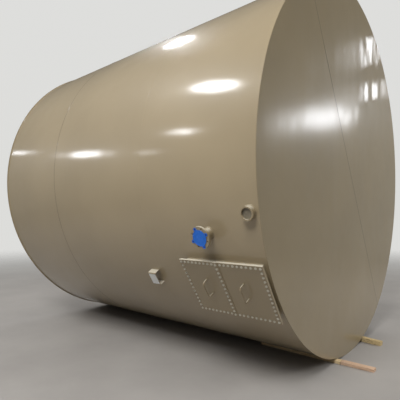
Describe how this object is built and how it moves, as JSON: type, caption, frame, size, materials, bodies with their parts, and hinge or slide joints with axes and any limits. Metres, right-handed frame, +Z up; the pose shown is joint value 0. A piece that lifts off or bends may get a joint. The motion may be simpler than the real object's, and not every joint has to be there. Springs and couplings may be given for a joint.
{
  "type": "storage tank on its side",
  "caption": "Flat-bottomed round steel storage tank with bolted cleanout, flanged nozzle and coupling, lying on its side on timber chocks.",
  "frame": {"origin": "on the floor, under the middle of the whole object's box", "axes": "+X along the tank's axis towards the flat bottom, -Y the side with the cleanout and the nozzle, +Z up"},
  "size_m": [5.5395, 4.8076, 4.7524],
  "materials": {
    "shell_paint": "satin gloss",
    "bottom_paint": "satin gloss",
    "weld_paint": "satin",
    "fitting_paint": "satin",
    "cap_plastic": "moulded",
    "plate_metal": "brushed",
    "timber": "sawn"
  },
  "bodies": {
    "root": {"course_1_front_plate": "shell_paint", "course_1_back_plate": "shell_paint", "course_2_front_plate": "shell_paint", "course_2_back_plate": "shell_paint", "course_3_front_plate": "shell_paint", "course_3_back_plate": "shell_paint", "girth_weld_1": "weld_paint", "girth_weld_2": "weld_paint", "long_seam_welds": "weld_paint", "bottom_upper_plate": "bottom_paint", "bottom_lower_plate": "bottom_paint", "bottom_seam_weld": "weld_paint", "bottom_rim_weld": "weld_paint", "roof_upper_plate": "shell_paint", "roof_lower_plate": "shell_paint", "roof_seam_weld": "weld_paint", "roof_rim_weld": "weld_paint", "roof_hatch_neck": "fitting_paint", "roof_hatch_flange": "fitting_paint", "roof_hatch_cover": "fitting_paint", "roof_vent_coupling": "fitting_paint", "cleanout_neck_top": "fitting_paint", "cleanout_neck_bottom": "fitting_paint", "cleanout_neck_left": "fitting_paint", "cleanout_neck_right": "fitting_paint", "cleanout_flange": "fitting_paint", "cleanout_cover_left": "fitting_paint", "cleanout_cover_right": "fitting_paint", "cleanout_handle_left": "fitting_paint", "cleanout_handle_right": "fitting_paint", "nozzle_neck": "fitting_paint", "nozzle_flange": "fitting_paint", "nozzle_cap": "cap_plastic", "coupling": "fitting_paint", "coupling_plug": "fitting_paint", "nameplate_bracket": "fitting_paint", "nameplate": "plate_metal", "front_timber": "timber", "front_offcut": "timber", "back_timber": "timber"}
  },
  "joints": []
}
